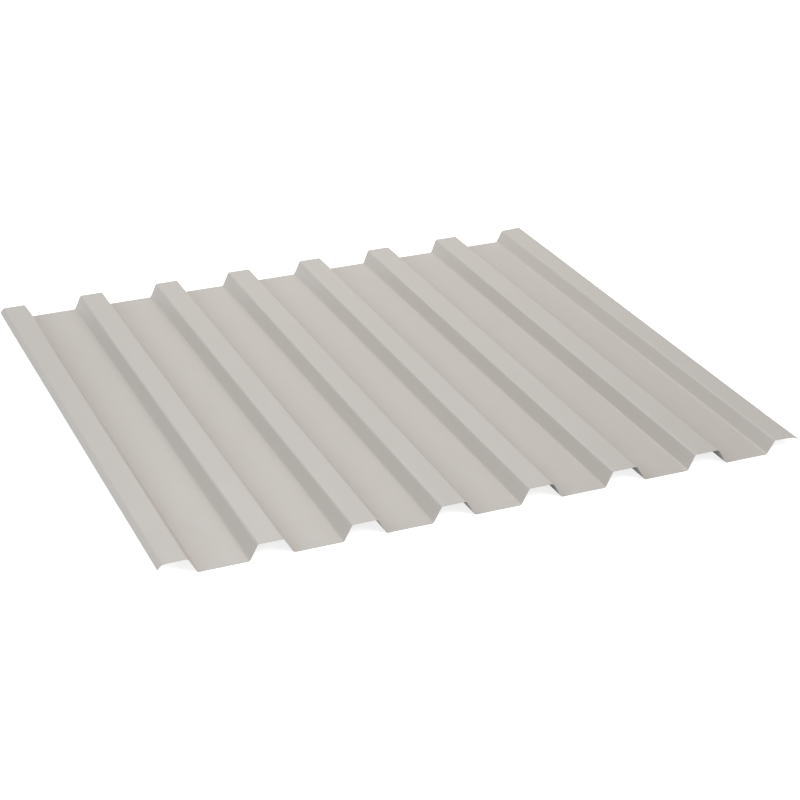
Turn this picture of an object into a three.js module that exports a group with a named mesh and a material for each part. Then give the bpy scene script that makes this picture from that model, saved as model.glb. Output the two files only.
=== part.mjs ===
// A roll-formed trapezoidal roofing and cladding sheet: one strip of colour-coated steel, folded into
// eight ribs with seven flat pans between them. Millimetres, +Z up, ribs along Y. The pans lie on z = 0.
import * as THREE from "three";

// Driving dimensions. Widths, heights and radii are those of the sheet's mid-surface, and widths and
// heights run between the sharp corners that the bends round off.
const SHEET_LENGTH = 1027;
const COVER_WIDTH = 1000; // from the first rib's axis to the last one's, which the next sheet laps over
const PAN_COUNT = 7;
const SHEET_THICKNESS = 0.5;
const BEND_RADIUS = 5;

const RIB_HEIGHT = 25.2;
const RIB_TOP_WIDTH = 39.8;
const RIB_BASE_WIDTH = 67.8;

// The underlap rib, at the left edge, lies under the next sheet: a little slimmer on its inner side, and
// cut off on its outer side at a short turned-down lip.
const UNDERLAP_HEIGHT = 24.3;
const UNDERLAP_TOP_INNER = 17.3; // each width here is measured from the rib's axis
const UNDERLAP_BASE_INNER = 30.5;
const UNDERLAP_TOP_OUTER = 21.7;
const UNDERLAP_LIP_RUN = 6.8;
const UNDERLAP_LIP_DROP = 7.8;

// The overlap rib, at the right edge, lies on the next sheet's underlap: it is opened out, so it stands
// lower and its lip slopes less.
const OVERLAP_HEIGHT = 21.5;
const OVERLAP_TOP_INNER = 20.6;
const OVERLAP_BASE_INNER = 35.8;
const OVERLAP_TOP_OUTER = 14.7;
const OVERLAP_LIP_RUN = 7.1;
const OVERLAP_LIP_DROP = 6.4;

const ARC_STEPS = 3; // a bend gets twice this many facets

const ribPitch = COVER_WIDTH / PAN_COUNT;
const panLevel = SHEET_THICKNESS / 2;

// The fold line: the sharp corners of the mid-surface from the left edge to the right one, with x
// measured from the first rib's axis.
function foldLine() {
  const corner = (x, height) => new THREE.Vector2(x, panLevel + height);
  const line = [
    corner(-UNDERLAP_TOP_OUTER - UNDERLAP_LIP_RUN, UNDERLAP_HEIGHT - UNDERLAP_LIP_DROP),
    corner(-UNDERLAP_TOP_OUTER, UNDERLAP_HEIGHT),
    corner(UNDERLAP_TOP_INNER, UNDERLAP_HEIGHT),
    corner(UNDERLAP_BASE_INNER, 0),
  ];
  for (let rib = 1; rib < PAN_COUNT; rib++) {
    const axis = rib * ribPitch;
    line.push(
      corner(axis - RIB_BASE_WIDTH / 2, 0),
      corner(axis - RIB_TOP_WIDTH / 2, RIB_HEIGHT),
      corner(axis + RIB_TOP_WIDTH / 2, RIB_HEIGHT),
      corner(axis + RIB_BASE_WIDTH / 2, 0),
    );
  }
  line.push(
    corner(COVER_WIDTH - OVERLAP_BASE_INNER, 0),
    corner(COVER_WIDTH - OVERLAP_TOP_INNER, OVERLAP_HEIGHT),
    corner(COVER_WIDTH + OVERLAP_TOP_OUTER, OVERLAP_HEIGHT),
    corner(COVER_WIDTH + OVERLAP_TOP_OUTER + OVERLAP_LIP_RUN, OVERLAP_HEIGHT - OVERLAP_LIP_DROP),
  );
  return line;
}

// The bend at a corner of the fold line: its centre, the angles at which its arc starts and ends, and
// whether it turns left, towards the upper face.
function bendAt(before, corner, after) {
  const into = corner.clone().sub(before).normalize();
  const outOf = after.clone().sub(corner).normalize();
  const turn = Math.asin(into.cross(outOf));
  const setback = BEND_RADIUS * Math.tan(Math.abs(turn) / 2);
  const side = Math.sign(turn);
  const towardsCentre = new THREE.Vector2(-into.y, into.x).multiplyScalar(side);
  const centre = corner
    .clone()
    .addScaledVector(into, -setback)
    .addScaledVector(towardsCentre, BEND_RADIUS);
  const startAngle = Math.atan2(-towardsCentre.y, -towardsCentre.x);
  return { centre, startAngle, endAngle: startAngle + turn, side };
}

// The two corners of the cut edge where the strip ends, each half a thickness off the line: first the one
// on the left of the way out, then the one on its right.
function cutEdge(end, inner, half) {
  const outwards = end.clone().sub(inner).setLength(half);
  const across = new THREE.Vector2(-outwards.y, outwards.x);
  return [end.clone().add(across), end.clone().sub(across)];
}

// The closed section of a strip of even thickness folded along a line of corners: round the left cut edge,
// along the upper face, round the right cut edge and back along the lower face.
function foldedStrip(line, thickness) {
  const half = thickness / 2;
  const bends = line.slice(1, -1).map((corner, i) => bendAt(line[i], corner, line[i + 2]));
  const [leftLower, leftUpper] = cutEdge(line[0], line[1], half);
  const [rightUpper, rightLower] = cutEdge(line.at(-1), line.at(-2), half);
  const section = new THREE.Shape();
  section.moveTo(leftLower.x, leftLower.y);
  section.lineTo(leftUpper.x, leftUpper.y);
  for (const { centre, startAngle, endAngle, side } of bends) {
    section.absarc(centre.x, centre.y, BEND_RADIUS - side * half, startAngle, endAngle, side < 0);
  }
  section.lineTo(rightUpper.x, rightUpper.y);
  section.lineTo(rightLower.x, rightLower.y);
  for (const { centre, startAngle, endAngle, side } of [...bends].reverse()) {
    section.absarc(centre.x, centre.y, BEND_RADIUS + side * half, endAngle, startAngle, side > 0);
  }
  section.closePath();
  return section;
}

function coatedSteel() {
  return new THREE.MeshStandardMaterial({ color: 0xc9c4be, roughness: 0.45, metalness: 0 });
}

function profiledSheet() {
  const section = foldedStrip(foldLine(), SHEET_THICKNESS);
  const body = new THREE.ExtrudeGeometry(section, {
    depth: SHEET_LENGTH,
    bevelEnabled: false,
    curveSegments: ARC_STEPS,
  });
  body.rotateX(Math.PI / 2);
  body.computeBoundingBox();
  const middle = body.boundingBox.getCenter(new THREE.Vector3());
  const sheet = new THREE.Mesh(body, coatedSteel());
  sheet.name = "profiled_sheet";
  sheet.position.set(-middle.x, -middle.y, 0);
  return sheet;
}

const part = new THREE.Group();
part.add(profiledSheet());

export default part;
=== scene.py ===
"""A trapezoidal profiled sheet: coil-coated steel, roll-formed into eight ribs, lying on a pale floor."""

import math

import bpy
from mathutils import Matrix, Vector, noise


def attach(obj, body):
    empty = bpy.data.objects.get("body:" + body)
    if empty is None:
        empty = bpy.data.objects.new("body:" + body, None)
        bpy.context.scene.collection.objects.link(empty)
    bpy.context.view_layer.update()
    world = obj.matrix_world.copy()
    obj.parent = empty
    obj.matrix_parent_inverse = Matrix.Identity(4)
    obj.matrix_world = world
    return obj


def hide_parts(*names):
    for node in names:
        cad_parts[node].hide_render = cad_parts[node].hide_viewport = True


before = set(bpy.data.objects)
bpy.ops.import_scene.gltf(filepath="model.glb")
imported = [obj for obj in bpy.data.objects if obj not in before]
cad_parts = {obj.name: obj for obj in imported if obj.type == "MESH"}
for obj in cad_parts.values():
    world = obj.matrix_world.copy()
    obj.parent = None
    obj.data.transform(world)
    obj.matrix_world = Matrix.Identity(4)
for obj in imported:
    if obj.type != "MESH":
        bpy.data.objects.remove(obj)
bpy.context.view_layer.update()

# Lengths are in millimetres, but for the camera's and the studio's. A place on the sheet has x across the
# ribs, from the first rib's axis, and y along them, from the sheet's middle.
MM = 0.001
DRESSED = 0.99999 * MM  # keeps the dressed sheet a hair's breadth inside the solid's box

# The sheet's sizes, as the CAD solid has them. Widths, heights and radii are those of the mid-surface, and
# widths and heights run between the sharp corners that the bends round off.
SHEET_LENGTH = 1027
COVER_WIDTH = 1000  # from the first rib's axis to the last one's
PAN_COUNT = 7
SHEET_THICKNESS = 0.5
BEND_RADIUS = 5
RIB_HEIGHT = 25.2
RIB_TOP_WIDTH = 39.8
RIB_BASE_WIDTH = 67.8

# The underlap rib, at the left edge. The widths of both edge ribs are measured from the rib's axis.
UNDERLAP_HEIGHT = 24.3
UNDERLAP_TOP_INNER = 17.3
UNDERLAP_BASE_INNER = 30.5
UNDERLAP_TOP_OUTER = 21.7
UNDERLAP_LIP_RUN = 6.8
UNDERLAP_LIP_DROP = 7.8

# The overlap rib, at the right edge.
OVERLAP_HEIGHT = 21.5
OVERLAP_TOP_INNER = 20.6
OVERLAP_BASE_INNER = 35.8
OVERLAP_TOP_OUTER = 14.7
OVERLAP_LIP_RUN = 7.1
OVERLAP_LIP_DROP = 6.4

# How finely the dressed sheet is divided.
FLAT_STEP = 6  # at most, across a flat
BEND_STEPS = 8
LENGTH_STEPS = 80
SHARP_ANGLE = 40  # degrees: only the cut edges turn by more

# Oil canning: the shallow waves that thin sheet takes from its coil and the rolls.
CANNING_DEPTH = 0.25  # at most
CANNING_WIDTH = 60
CANNING_LENGTH = 260
CANNING_FADE = 8  # the higher, the less of it on a slope

# The cut front end has spread a little, as roll-formed sheet does when it is sheared. Away from it the webs
# stand steeper: each foot lies nearer its rib's axis, and each edge of a crown further from it.
FOOT_IN = 1.5
CROWN_OUT = 0.6
SPREAD_REACH = 120  # nearly two thirds of the change lies within it

# No two ribs are rolled quite alike: how far some of them, and the left edges of some crowns, stray to the
# right. The ribs are numbered from 0 at the left edge.
RIB_STRAY = {1: -0.8, 2: 1.0, 4: 0.5}
CROWN_STRAY = {5: -1.5, 6: -1.6, 7: -1.2}

# How the two free edges have sprung, as lift. The overlap rib's crown turns about its inner corner, down at
# the front end and up at the back. At the front end the crown of each rolls down into its lip, and the
# overlap's lip opens. What happens at that end dies away over a reach.
OVERLAP_INNER_LIFT = 0.5
OVERLAP_TWIST = (-1.0, 1.7)
OVERLAP_LIP_FLARE = 1.9
OVERLAP_ROLL = -1.3
UNDERLAP_ROLL = -0.9
ROLL_WIDTH = 5
END_REACH = 80  # nearly two thirds of it is gone by there

# Patterns of the coats and the cut edge: the size of a patch along X, Y and Z.
ROLLER_STREAK = (6, 400, 6)
FILM_DRIFT = (180, 300, 60)
GLOSS_PATCH = (30, 80, 20)
PEEL = (3, 3, 3)  # real peel is about 1 mm across: drawn coarser, as a pixel covers more than that
PEEL_DEPTH = 0.002
BACKING_MOTTLE = (12, 20, 12)
SHEAR_MARK = (2, 2, 0.2)
NOISE_FLOOR = 0.3  # nearly all values of the noise lie between these two
NOISE_CEILING = 0.7

# The camera, in metres from the sheet's middle and its pans' level.
CAMERA_AT = (-1.1545, -3.0212, 1.4784)
CAMERA_AIM = (0.0151, -0.094, 0)
CAMERA_ROLL = -0.827  # degrees
CAMERA_LENS = 93.79  # mm, on a sensor of the width below
CAMERA_SENSOR = 36

# The studio, in metres.
FLOOR_SIZE = 30
FLOOR_LEVEL = -0.0003
FLOOR_GLOW = 0.785  # how much of the floor's white the camera sees whatever falls on it
ROOM_LIGHT = 0.257  # how strongly the white room lights the sheet, where 1 is white

RIB_PITCH = COVER_WIDTH / PAN_COUNT
HALF_THICKNESS = SHEET_THICKNESS / 2

# The sheet's material slots, in the order of their numbers.
TOPCOAT, BACKING_COAT, BARE_STEEL = range(3)


def fold_line():
    """The sharp corners (x, height) of the mid-surface, from the left edge to the right one."""
    line = [
        (-UNDERLAP_TOP_OUTER - UNDERLAP_LIP_RUN, UNDERLAP_HEIGHT - UNDERLAP_LIP_DROP),
        (-UNDERLAP_TOP_OUTER, UNDERLAP_HEIGHT),
        (UNDERLAP_TOP_INNER, UNDERLAP_HEIGHT),
        (UNDERLAP_BASE_INNER, 0),
    ]
    for rib in range(1, PAN_COUNT):
        axis = rib * RIB_PITCH
        line += [
            (axis - RIB_BASE_WIDTH / 2, 0),
            (axis - RIB_TOP_WIDTH / 2, RIB_HEIGHT),
            (axis + RIB_TOP_WIDTH / 2, RIB_HEIGHT),
            (axis + RIB_BASE_WIDTH / 2, 0),
        ]
    line += [
        (COVER_WIDTH - OVERLAP_BASE_INNER, 0),
        (COVER_WIDTH - OVERLAP_TOP_INNER, OVERLAP_HEIGHT),
        (COVER_WIDTH + OVERLAP_TOP_OUTER, OVERLAP_HEIGHT),
        (COVER_WIDTH + OVERLAP_TOP_OUTER + OVERLAP_LIP_RUN, OVERLAP_HEIGHT - OVERLAP_LIP_DROP),
    ]
    # The pans' lower face lies at height 0, so their mid-surface lies half a thickness above it.
    return [Vector((x, height + HALF_THICKNESS)) for x, height in line]


def bend(before, corner, after):
    """Points and upward normals round the bend at a corner of the fold line."""
    into = (corner - before).normalized()
    out = (after - corner).normalized()
    turn = math.asin(into.x * out.y - into.y * out.x)
    side = math.copysign(1, turn)  # 1 where the bend's centre lies above the sheet, -1 below
    normal = Vector((-into.y, into.x))
    setback = BEND_RADIUS * math.tan(abs(turn) / 2)
    centre = corner - into * setback + normal * side * BEND_RADIUS
    points = []
    for step in range(BEND_STEPS + 1):
        swing = Matrix.Rotation(turn * step / BEND_STEPS, 2)
        up = swing @ normal
        points.append((centre - up * side * BEND_RADIUS, up))
    return points


def section():
    """Points along the mid-surface, each with its upward normal and how far into a flat it lies, 0 to 1."""
    line = fold_line()
    stretches = [bend(*line[i:i + 3]) for i in range(len(line) - 2)]
    # Each cut edge counts as a stretch of one point, with the upward normal of the flat that ends there.
    ends = []
    for end, inner, sign in ((line[0], line[1], -1), (line[-1], line[-2], 1)):
        along = (end - inner).normalized() * sign
        ends.append([(end, Vector((-along.y, along.x)))])
    stretches = [ends[0]] + stretches + [ends[1]]
    points = []
    for bent, following in zip(stretches, stretches[1:]):
        points += [(place, up, 0) for place, up in bent]
        start, normal = bent[-1]
        stop = following[0][0]
        steps = max(2, math.ceil((stop - start).length / FLAT_STEP))
        for step in range(1, steps):
            share = step / steps
            points.append((start.lerp(stop, share), normal, math.sin(math.pi * share)))
    points += [(place, up, 0) for place, up in stretches[-1]]
    return points


def canned(place, up, into_flat, y):
    """How far a flat bulges along its upward normal: a pan upwards and a crown downwards."""
    wave = noise.noise(Vector((place.x / CANNING_WIDTH, y / CANNING_LENGTH, place.y / CANNING_WIDTH)))
    inward = 1 if place.y < RIB_HEIGHT / 2 else -1
    return CANNING_DEPTH * into_flat * (1 + wave) / 2 * inward * up.y ** CANNING_FADE


def strayed(x, y):
    """How far a place lies to the right of its rolled place."""
    rib = round(x / RIB_PITCH)
    off_axis = x - rib * RIB_PITCH
    last = rib == PAN_COUNT
    if rib == 0 or (last and off_axis > 0):  # the underlap rib and the overlap's outer side stay
        return 0
    top = OVERLAP_TOP_INNER if last else RIB_TOP_WIDTH / 2
    foot = OVERLAP_BASE_INNER if last else RIB_BASE_WIDTH / 2
    reach = abs(off_axis)
    # on_rib fades from 1 at a foot to 0 at the middle of a pan, and at_crown from 1 at an edge of the crown
    # to 0 at the rib's axis and at its foot.
    if reach < top:  # on the crown
        on_rib, at_crown = 1, reach / top
        outward = CROWN_OUT * at_crown
    elif reach < foot:  # on a web
        on_rib, at_crown = 1, (foot - reach) / (foot - top)
        outward = CROWN_OUT * at_crown - FOOT_IN * (1 - at_crown)
    else:  # on a pan, as far as its middle
        on_rib, at_crown = (RIB_PITCH / 2 - reach) / (RIB_PITCH / 2 - foot), 0
        outward = -FOOT_IN * on_rib
    stray = RIB_STRAY.get(rib, 0) * on_rib
    if off_axis < 0:
        stray += CROWN_STRAY.get(rib, 0) * at_crown
    from_front = y + SHEET_LENGTH / 2
    settled = 1 - math.exp(-from_front / SPREAD_REACH)
    return outward * math.copysign(settled, off_axis) + stray


def sprung(x, y, height):
    """How far a place stands above its rolled height."""
    from_front = y + SHEET_LENGTH / 2
    at_end = math.exp(-from_front / END_REACH)
    across = x - COVER_WIDTH
    if across > -OVERLAP_TOP_INNER:  # on the overlap rib's crown or lip
        over_crown = (across + OVERLAP_TOP_INNER) / (OVERLAP_TOP_INNER + OVERLAP_TOP_OUTER)
        front, back = OVERLAP_TWIST
        twist = front + (back - front) * from_front / SHEET_LENGTH
        crown = OVERLAP_INNER_LIFT + (twist - OVERLAP_INNER_LIFT) * min(over_crown, 1)
        roll = OVERLAP_ROLL * math.exp(-((across - OVERLAP_TOP_OUTER) / ROLL_WIDTH) ** 2)
        down_lip = max(0, across - OVERLAP_TOP_OUTER) / OVERLAP_LIP_RUN
        return crown + (roll + OVERLAP_LIP_FLARE * down_lip) * at_end
    if across > -OVERLAP_BASE_INNER:  # on its inner web
        return OVERLAP_INNER_LIFT * height / OVERLAP_HEIGHT
    # Anywhere else: the underlap rib's roll, which comes to nothing away from its lip.
    return UNDERLAP_ROLL * math.exp(-((x + UNDERLAP_TOP_OUTER) / ROLL_WIDTH) ** 2) * at_end


def sheet_vertices(points):
    """Rows of vertices from the front end to the back, each row's upper face before its lower one."""
    reach = [(place + up * side * HALF_THICKNESS).x for place, up, _ in points for side in (1, -1)]
    middle = (min(reach) + max(reach)) / 2
    vertices = []
    for row in range(LENGTH_STEPS + 1):
        y = SHEET_LENGTH * (row / LENGTH_STEPS - 0.5)
        for side in (1, -1):
            for place, up, into_flat in points:
                at = place + up * (side * HALF_THICKNESS + canned(place, up, into_flat, y))
                across = at.x + strayed(at.x, y) - middle
                vertices.append(Vector((across, y, at.y + sprung(at.x, y, at.y))) * DRESSED)
    return vertices


def sheet_faces(columns):
    """The faces between the vertices, each with its material slot: coats and long edges, then the ends."""
    last = columns - 1
    stride = 2 * columns
    faces = []
    for row in range(LENGTH_STEPS):
        upper = row * stride
        lower = upper + columns
        next_upper = upper + stride
        next_lower = lower + stride
        for i in range(last):
            faces.append(((upper + i, upper + i + 1, next_upper + i + 1, next_upper + i), TOPCOAT))
            faces.append(((lower + i, next_lower + i, next_lower + i + 1, lower + i + 1), BACKING_COAT))
        faces.append(((upper, next_upper, next_lower, lower), BARE_STEEL))
        faces.append(((lower + last, next_lower + last, next_upper + last, upper + last), BARE_STEEL))
    for start, turned in ((0, False), (LENGTH_STEPS * stride, True)):
        for i in range(start, start + last):
            end_face = (i, i + columns, i + columns + 1, i + 1)
            faces.append((end_face[::-1] if turned else end_face, BARE_STEEL))
    return faces


def coated_sheet():
    """The whole sheet as one closed strip."""
    points = section()
    faces, slots = zip(*sheet_faces(len(points)))
    mesh = bpy.data.meshes.new("coated_sheet")
    mesh.from_pydata(sheet_vertices(points), [], faces)
    for material in (polyester_topcoat(), epoxy_backing_coat(), sheared_edge()):
        mesh.materials.append(material)
    mesh.polygons.foreach_set("material_index", slots)
    mesh.polygons.foreach_set("use_smooth", [True] * len(faces))
    mesh.set_sharp_from_angle(angle=math.radians(SHARP_ANGLE))
    strip = bpy.data.objects.new("coated_sheet", mesh)
    bpy.context.collection.objects.link(strip)
    return strip


def srgb(code):
    """An sRGB hex colour, turned linear, with an alpha of 1."""
    channels = [int(code[i:i + 2], 16) / 255 for i in (1, 3, 5)]
    linear = [c / 12.92 if c <= 0.04045 else ((c + 0.055) / 1.055) ** 2.4 for c in channels]
    return (*linear, 1)


def node(tree, kind, settings=None, sources=(), **links):
    """Adds a node, sets its properties and sockets, and links sources to its first or its named sockets."""
    made = tree.nodes.new(kind)
    for name, value in (settings or {}).items():
        if name in made.inputs:
            made.inputs[name].default_value = value
        else:
            setattr(made, name, value)
    for socket, source in zip(made.inputs, sources):
        tree.links.new(source, socket)
    for name, source in links.items():
        tree.links.new(source, made.inputs[name.replace("_", " ")])
    return made


def new_material(name):
    """An empty node material, with its tree."""
    material = bpy.data.materials.new(name)
    material.use_nodes = True
    material.node_tree.nodes.clear()
    return material, material.node_tree


def patches(tree, size, detail=2):
    """Noise from 0 to 1 over the sheet, in patches of the given size along each axis."""
    place = node(tree, "ShaderNodeTexCoord").outputs["Object"]
    scale = [1 / (length * MM) for length in size]
    scaled = node(tree, "ShaderNodeMapping", {"Scale": scale}, Vector=place)
    fineness = {"Scale": 1, "Detail": detail}
    cloud = node(tree, "ShaderNodeTexNoise", fineness, Vector=scaled.outputs["Vector"])
    limits = {"From Min": NOISE_FLOOR, "From Max": NOISE_CEILING}
    stretched = node(tree, "ShaderNodeMapRange", limits, Value=cloud.outputs["Fac"])
    return stretched.outputs["Result"]


def polyester_topcoat():
    """Satin polyester, stoved on the galvanised strip before rolling: pale, even, a little streaky."""
    material, tree = new_material("polyester_topcoat")
    # The coating roller leaves faint streaks along the strip, on a slow drift of the film's thickness.
    streaks = patches(tree, ROLLER_STREAK, detail=3)
    total = node(tree, "ShaderNodeMath", {"operation": "ADD"}, [streaks, patches(tree, FILM_DRIFT)])
    mean = node(tree, "ShaderNodeMapRange", {"From Max": 2}, Value=total.outputs["Value"])
    tints = {"Color1": srgb("#CAC3BB"), "Color2": srgb("#CCC5BD")}
    colour = node(tree, "ShaderNodeMixRGB", tints, Fac=mean.outputs["Result"])
    # Satin gloss that changes in soft patches, as a stoved film's does.
    satin = {"To Min": 0.41, "To Max": 0.49}
    roughness = node(tree, "ShaderNodeMapRange", satin, Value=patches(tree, GLOSS_PATCH))
    # Orange peel of the stoved film: it softens what the gloss mirrors.
    relief = {"Strength": 1, "Distance": PEEL_DEPTH * MM}
    peel = node(tree, "ShaderNodeBump", relief, Height=patches(tree, PEEL, detail=1))
    paint = node(
        tree, "ShaderNodeBsdfPrincipled", {"IOR": 1.5}, Base_Color=colour.outputs["Color"],
        Roughness=roughness.outputs["Result"], Normal=peel.outputs["Normal"],
    )
    node(tree, "ShaderNodeOutputMaterial", Surface=paint.outputs["BSDF"])
    return material


def epoxy_backing_coat():
    """Thin epoxy wash on the underside: matt, greyer, and mottled where the zinc shows through."""
    material, tree = new_material("epoxy_backing_coat")
    tints = {"Color1": srgb("#A3A19B"), "Color2": srgb("#ADABA5")}
    colour = node(tree, "ShaderNodeMixRGB", tints, Fac=patches(tree, BACKING_MOTTLE, detail=4))
    matt = {"To Min": 0.55, "To Max": 0.66}
    roughness = node(tree, "ShaderNodeMapRange", matt, Value=patches(tree, GLOSS_PATCH))
    wash = node(
        tree, "ShaderNodeBsdfPrincipled", {"IOR": 1.5},
        Base_Color=colour.outputs["Color"], Roughness=roughness.outputs["Result"],
    )
    node(tree, "ShaderNodeOutputMaterial", Surface=wash.outputs["BSDF"])
    return material


def sheared_edge():
    """Bare steel where the strip was slit and cut off: bright where it sheared, dull where it tore."""
    material, tree = new_material("sheared_edge")
    shorn = patches(tree, SHEAR_MARK, detail=3)
    tints = {"Color1": srgb("#96948F"), "Color2": srgb("#B4B2AE")}
    colour = node(tree, "ShaderNodeMixRGB", tints, Fac=shorn)
    roughness = node(tree, "ShaderNodeMapRange", {"To Min": 0.6, "To Max": 0.42}, Value=shorn)
    steel = node(
        tree, "ShaderNodeBsdfPrincipled", {"Metallic": 1},
        Base_Color=colour.outputs["Color"], Roughness=roughness.outputs["Result"],
    )
    node(tree, "ShaderNodeOutputMaterial", Surface=steel.outputs["BSDF"])
    return material


def seen(tree):
    """1 for what is seen straight, in a gloss or through glass, and 0 for light that falls on the sheet."""
    path = node(tree, "ShaderNodeLightPath")
    share = path.outputs["Is Camera Ray"]
    for ray in ("Is Glossy Ray", "Is Transmission Ray"):
        larger = node(tree, "ShaderNodeMath", {"operation": "MAXIMUM"}, [share, path.outputs[ray]])
        share = larger.outputs["Value"]
    return share


def matt_white_vinyl():
    """Plain matt vinyl, laid flat: it takes the sheet's soft shadow, and its glow lifts it for the eye."""
    material, tree = new_material("matt_white_vinyl")
    vinyl = node(tree, "ShaderNodeBsdfDiffuse", {"Color": srgb("#ECECEC")})
    strength = node(tree, "ShaderNodeMapRange", {"To Max": FLOOR_GLOW}, Value=seen(tree))
    glow = node(tree, "ShaderNodeEmission", Strength=strength.outputs["Result"])
    lifted = node(tree, "ShaderNodeAddShader", sources=[vinyl.outputs["BSDF"], glow.outputs["Emission"]])
    node(tree, "ShaderNodeOutputMaterial", Surface=lifted.outputs["Shader"])
    return material


def pale_floor():
    """One flat square under the sheet, which reaches far beyond it."""
    mesh = bpy.data.meshes.new("floor")
    half = FLOOR_SIZE / 2
    corners = [(-half, -half), (half, -half), (half, half), (-half, half)]
    mesh.from_pydata([(x, y, FLOOR_LEVEL) for x, y in corners], [], [(0, 1, 2, 3)])
    mesh.materials.append(matt_white_vinyl())
    floor = bpy.data.objects.new("floor", mesh)
    bpy.context.collection.objects.link(floor)


def soft_lamp(name, place, side, power, tint="#FFFFFF"):
    """A square soft lamp aimed at the middle of the sheet: place and side in metres, power in watts."""
    data = bpy.data.lights.new(name, "AREA")
    data.color = srgb(tint)[:3]
    data.shape = "SQUARE"
    data.size = side
    data.energy = power
    lamp = bpy.data.objects.new(name, data)
    lamp.location = place
    lamp.rotation_euler = (-Vector(place)).to_track_quat("-Z", "Y").to_euler()
    lamp.visible_camera = False
    bpy.context.collection.objects.link(lamp)


def studio():
    """Five soft lamps in a white room."""
    soft_lamp("left_softbox", (-3.55, 0, 2.77), side=3, power=71.8, tint="#ECF6FF")
    soft_lamp("right_front_softbox", (1.18, -3.24, 2.89), side=1.6, power=59.9)
    soft_lamp("back_top_lamp", (0, 0.9, 1.2), side=0.5, power=3.95)
    soft_lamp("back_right_lamp", (0.7, 0.9, 1.1), side=0.5, power=2)
    soft_lamp("left_front_lamp", (-0.6, -0.5, 0.6), side=0.5, power=0.38)
    room = bpy.data.worlds.new("white_room")
    room.use_nodes = True
    tree = room.node_tree
    tree.nodes.clear()
    strength = node(tree, "ShaderNodeMapRange", {"To Min": ROOM_LIGHT}, Value=seen(tree))
    white = {"Color": srgb("#FFFFFF")}
    walls = node(tree, "ShaderNodeBackground", white, Strength=strength.outputs["Result"])
    node(tree, "ShaderNodeOutputWorld", Surface=walls.outputs["Background"])
    bpy.context.scene.world = room


def camera():
    """The camera, in front of the sheet, to its left and above it."""
    data = bpy.data.cameras.new("camera")
    data.lens = CAMERA_LENS
    data.sensor_width = CAMERA_SENSOR
    eye = bpy.data.objects.new("camera", data)
    place = Vector(CAMERA_AT)
    look = (Vector(CAMERA_AIM) - place).to_track_quat("-Z", "Y").to_matrix()
    turn = look @ Matrix.Rotation(math.radians(CAMERA_ROLL), 3, "Z")
    eye.matrix_world = Matrix.Translation(place) @ turn.to_4x4()
    bpy.context.collection.objects.link(eye)
    bpy.context.scene.camera = eye


camera()
studio()
pale_floor()
sheet = coated_sheet()
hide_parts("profiled_sheet")
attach(sheet, "root")

bpy.context.scene.view_settings.view_transform = "Standard"
